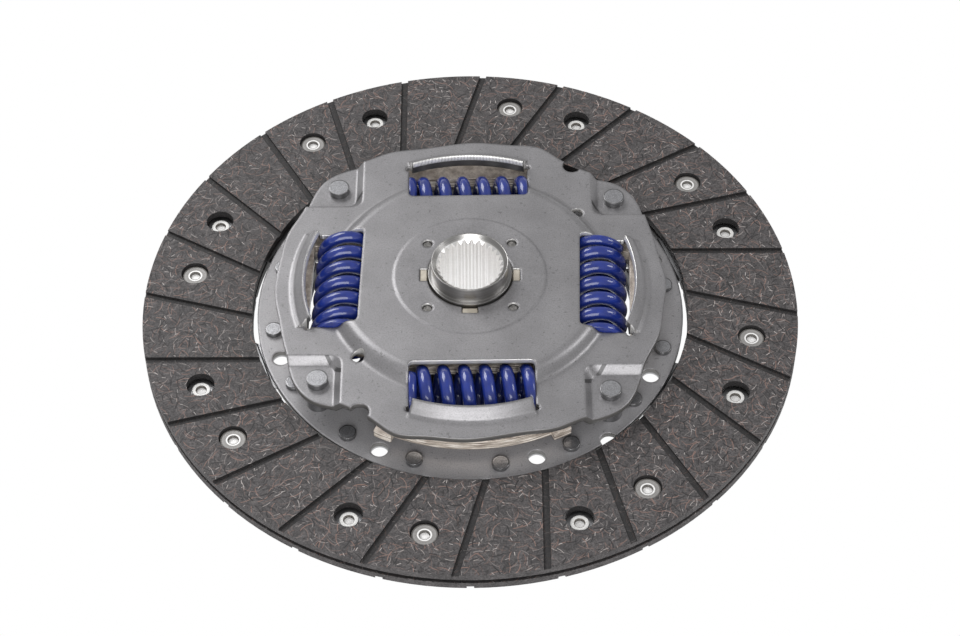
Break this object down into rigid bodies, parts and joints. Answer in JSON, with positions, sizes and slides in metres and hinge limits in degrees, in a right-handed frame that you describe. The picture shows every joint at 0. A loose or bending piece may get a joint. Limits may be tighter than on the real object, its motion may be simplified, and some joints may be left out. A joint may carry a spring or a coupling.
{
  "type": "clutch disc",
  "caption": "Dry friction clutch disc with grooved riveted facings, a splined hub and blue coil damper springs in stamped windows",
  "frame": {"origin": "on the disc's axis, in the plane of the rear plate's flat middle, which the part rests on", "axes": "+Z along the disc's axis towards the end where the splined hub stands out, +X to the right and +Y away in the picture"},
  "size_m": [0.228, 0.228, 0.0317],
  "materials": {
    "friction_lining": "matt moulded friction compound with short copper-coloured and pale fibres, finely ground face",
    "plate_steel": "satin phosphated sheet steel, bright on the sheared edges",
    "rivet_steel": "satin plated steel",
    "spring_steel": "smooth spring steel sheet",
    "hub_steel": "bright turned and broached steel",
    "flange_steel": "brownish heat-treated steel",
    "bush_plastic": "cream bearing plastic",
    "blue_spring": "glossy royal blue lacquer on spring wire"
  },
  "bodies": {
    "disc": {"front_facing": "friction_lining", "rear_facing": "friction_lining", "front_facing_rivets": "rivet_steel", "rear_facing_rivets": "rivet_steel", "cushion_segment_1": "spring_steel", "cushion_segment_2": "spring_steel", "cushion_segment_3": "spring_steel", "cushion_segment_4": "spring_steel", "cushion_segment_5": "spring_steel", "cushion_segment_6": "spring_steel", "cushion_segment_7": "spring_steel", "cushion_segment_8": "spring_steel", "driver_plate": "plate_steel", "cover_plate": "plate_steel", "segment_rivets": "rivet_steel", "stop_pins": "rivet_steel", "front_bush": "bush_plastic", "cup_spring": "spring_steel", "pressure_washer": "flange_steel", "rear_bush": "bush_plastic"},
    "hub": {"hub": "hub_steel", "hub_flange": "flange_steel"},
    "damper_springs": {"damper_spring_1": "blue_spring", "damper_spring_2": "blue_spring", "damper_spring_3": "blue_spring", "damper_spring_4": "blue_spring"}
  },
  "joints": [
    {"name": "hub_twist", "type": "hinge", "parent": "disc", "child": "hub", "pos_m": [0, 0, 0.0123], "axis": [0, 0, 1], "range_deg": [-9.5, 9.5], "stiffness_Nm_per_rad": 20},
    {"name": "spring_follow", "type": "hinge", "parent": "disc", "child": "damper_springs", "pos_m": [0, 0, 0.0123], "axis": [0, 0, 1], "range_deg": [-4.8, 4.8], "deforming": ["damper_spring_1", "damper_spring_2", "damper_spring_3", "damper_spring_4"]}
  ],
  "couplings": [
    {"joint": "spring_follow", "follows": "hub_twist", "ratio": 0.5}
  ]
}
